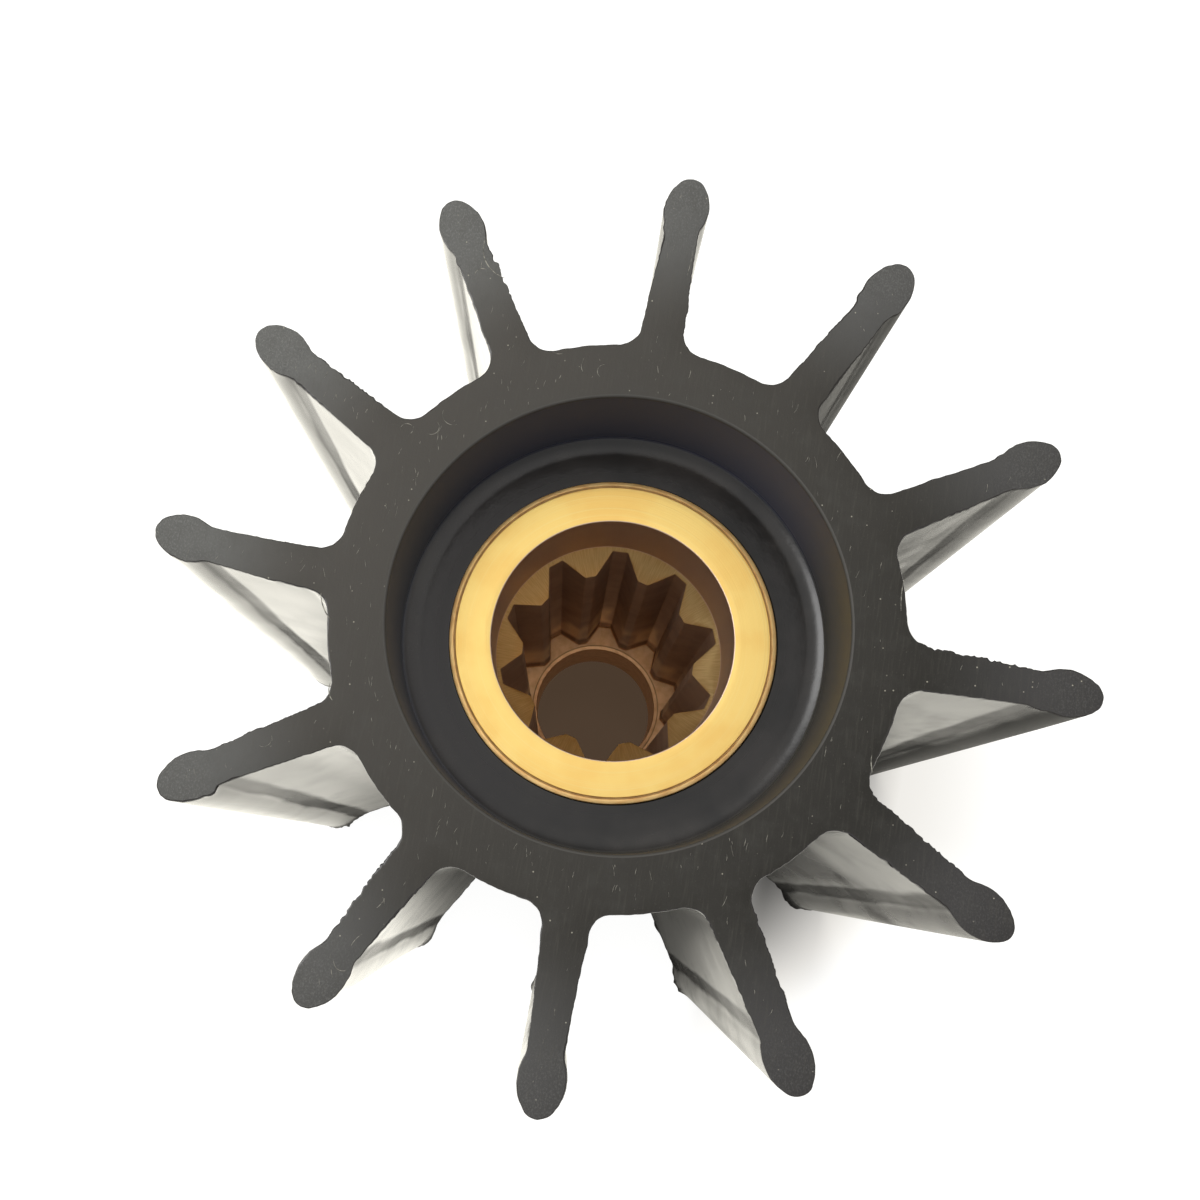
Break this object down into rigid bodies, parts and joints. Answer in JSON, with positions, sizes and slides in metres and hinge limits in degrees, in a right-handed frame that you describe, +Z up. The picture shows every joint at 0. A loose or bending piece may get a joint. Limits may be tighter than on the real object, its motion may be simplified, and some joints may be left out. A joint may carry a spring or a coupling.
{
  "type": "rubber pump impeller",
  "caption": "Flexible pump impeller: a black rubber hub with straight radial vanes, bonded round a brass bush with an internal drive spline.",
  "frame": {"origin": "centre of the lower hub face, on the axis of rotation", "axes": "+Z up along the axis of rotation, out of the splined mouth; one vane points along +X"},
  "size_m": [0.0952, 0.0952, 0.0889],
  "materials": {
    "rubber": "dry matt end faces, glossier moulded sides",
    "brass": "finely turned face, broached spline"
  },
  "bodies": {
    "root": {"rubber_body": "rubber", "brass_insert": "brass"}
  },
  "joints": []
}
